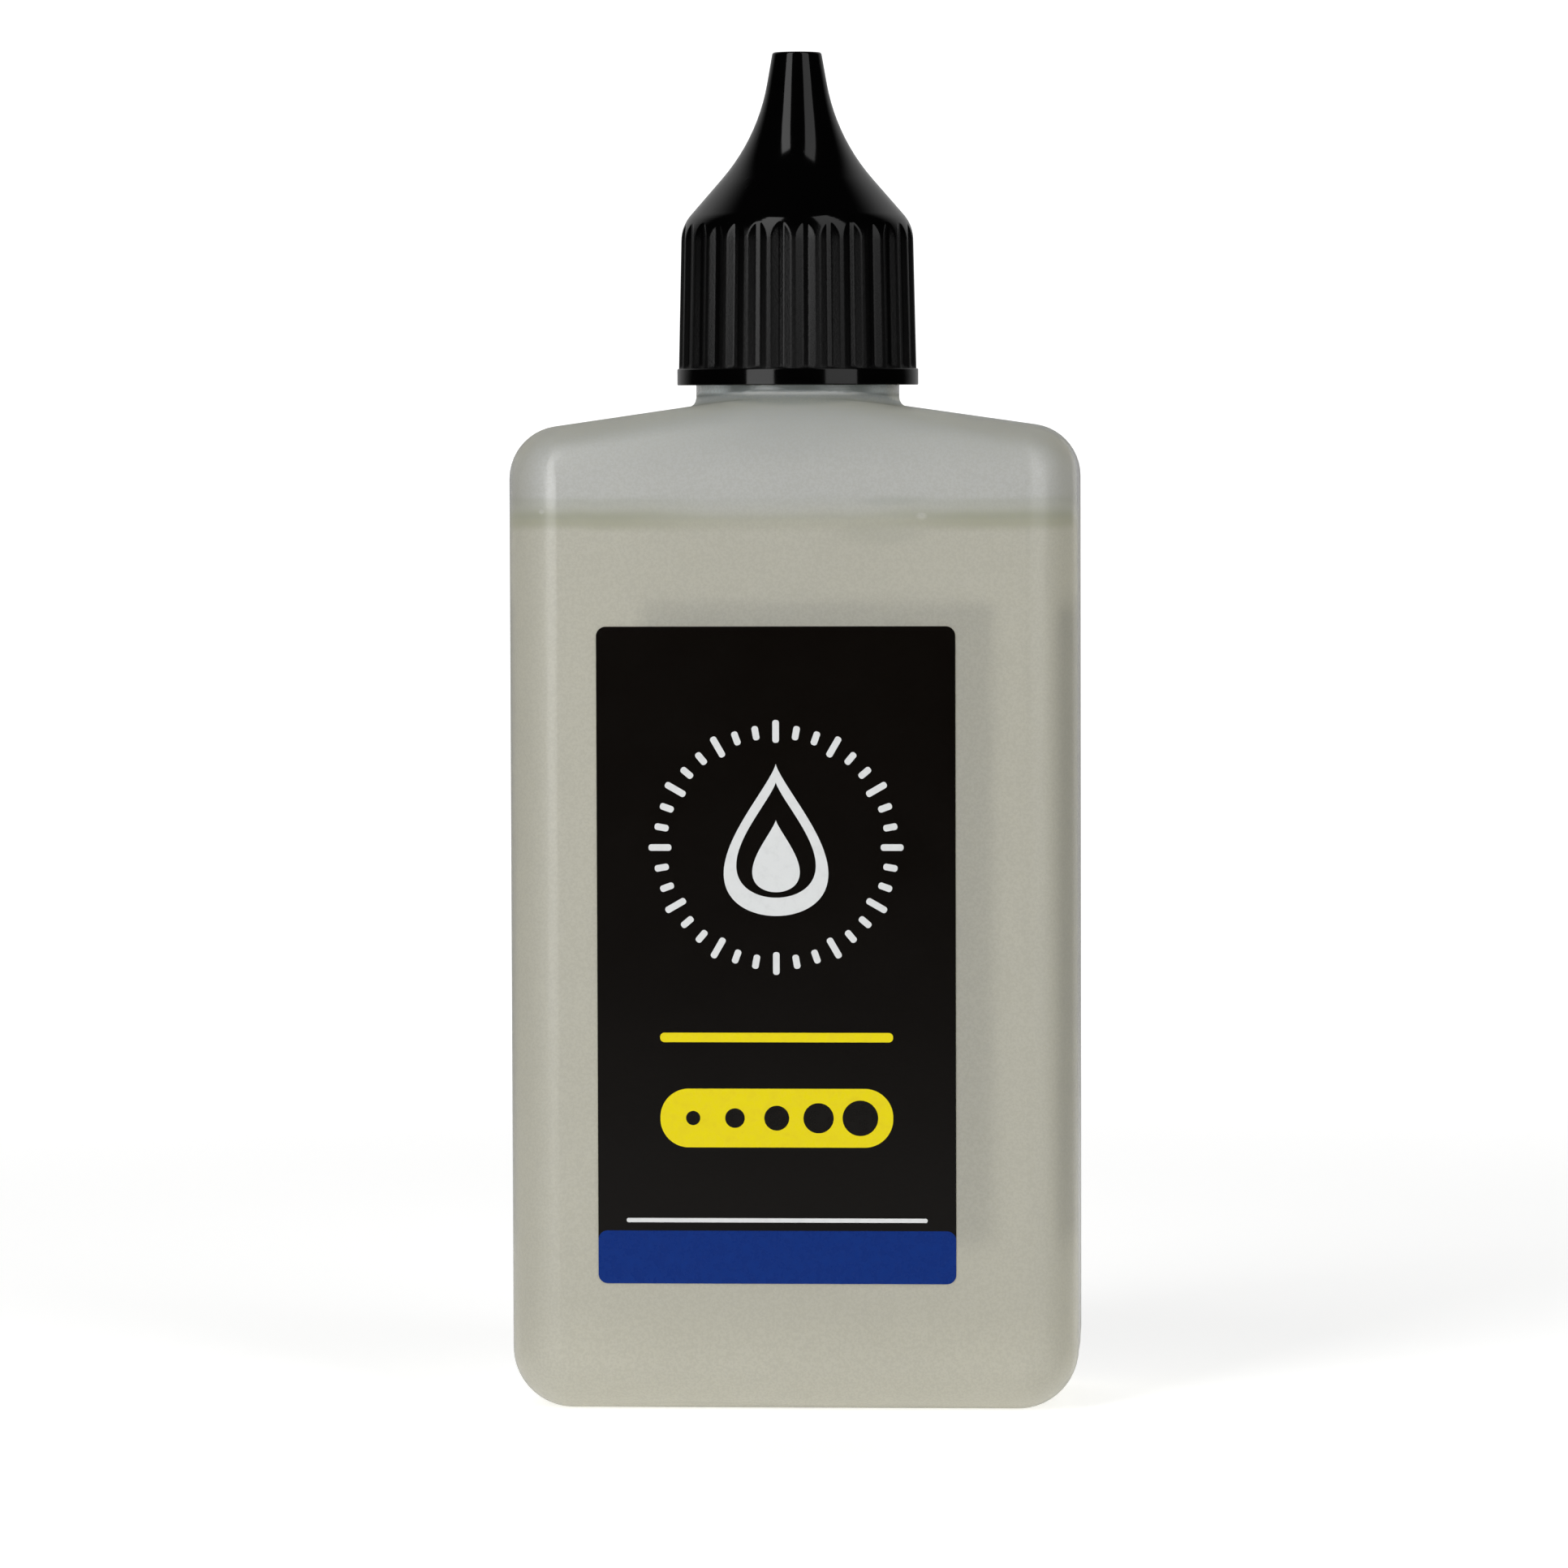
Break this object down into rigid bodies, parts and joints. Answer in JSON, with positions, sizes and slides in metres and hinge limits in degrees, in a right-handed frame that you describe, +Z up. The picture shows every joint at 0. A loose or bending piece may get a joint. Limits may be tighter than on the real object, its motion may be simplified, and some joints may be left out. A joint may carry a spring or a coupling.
{
  "type": "bicycle chain lubricant bottle",
  "caption": "Flat translucent squeeze bottle of chain oil with rounded edges, a dropper nozzle in its neck, labels on both faces and a fluted black spire cap that comes off.",
  "frame": {"origin": "on the standing plane, under the middle of the bottle", "axes": "+Z up along the neck and cap, -Y out of the front label, +X to the right of someone facing that label"},
  "size_m": [0.06, 0.0312, 0.1436],
  "materials": {
    "natural_polyethylene": "milky translucent, satin",
    "oil": "clear pale straw liquid",
    "nozzle_polyethylene": "milky white, satin",
    "black_polypropylene": "glossy black moulded plastic",
    "label_film": "printed film, satin"
  },
  "bodies": {
    "bottle": {"bottle": "natural_polyethylene", "lubricant": "oil", "dropper_nozzle": "nozzle_polyethylene", "front_label": "label_film", "back_label": "label_film"},
    "cap": {"screw_cap": "black_polypropylene"}
  },
  "joints": [
    {"name": "cap_lift", "type": "slide", "parent": "bottle", "child": "cap", "axis": [0, 0, 1], "range_m": [0, 0.04]}
  ]
}
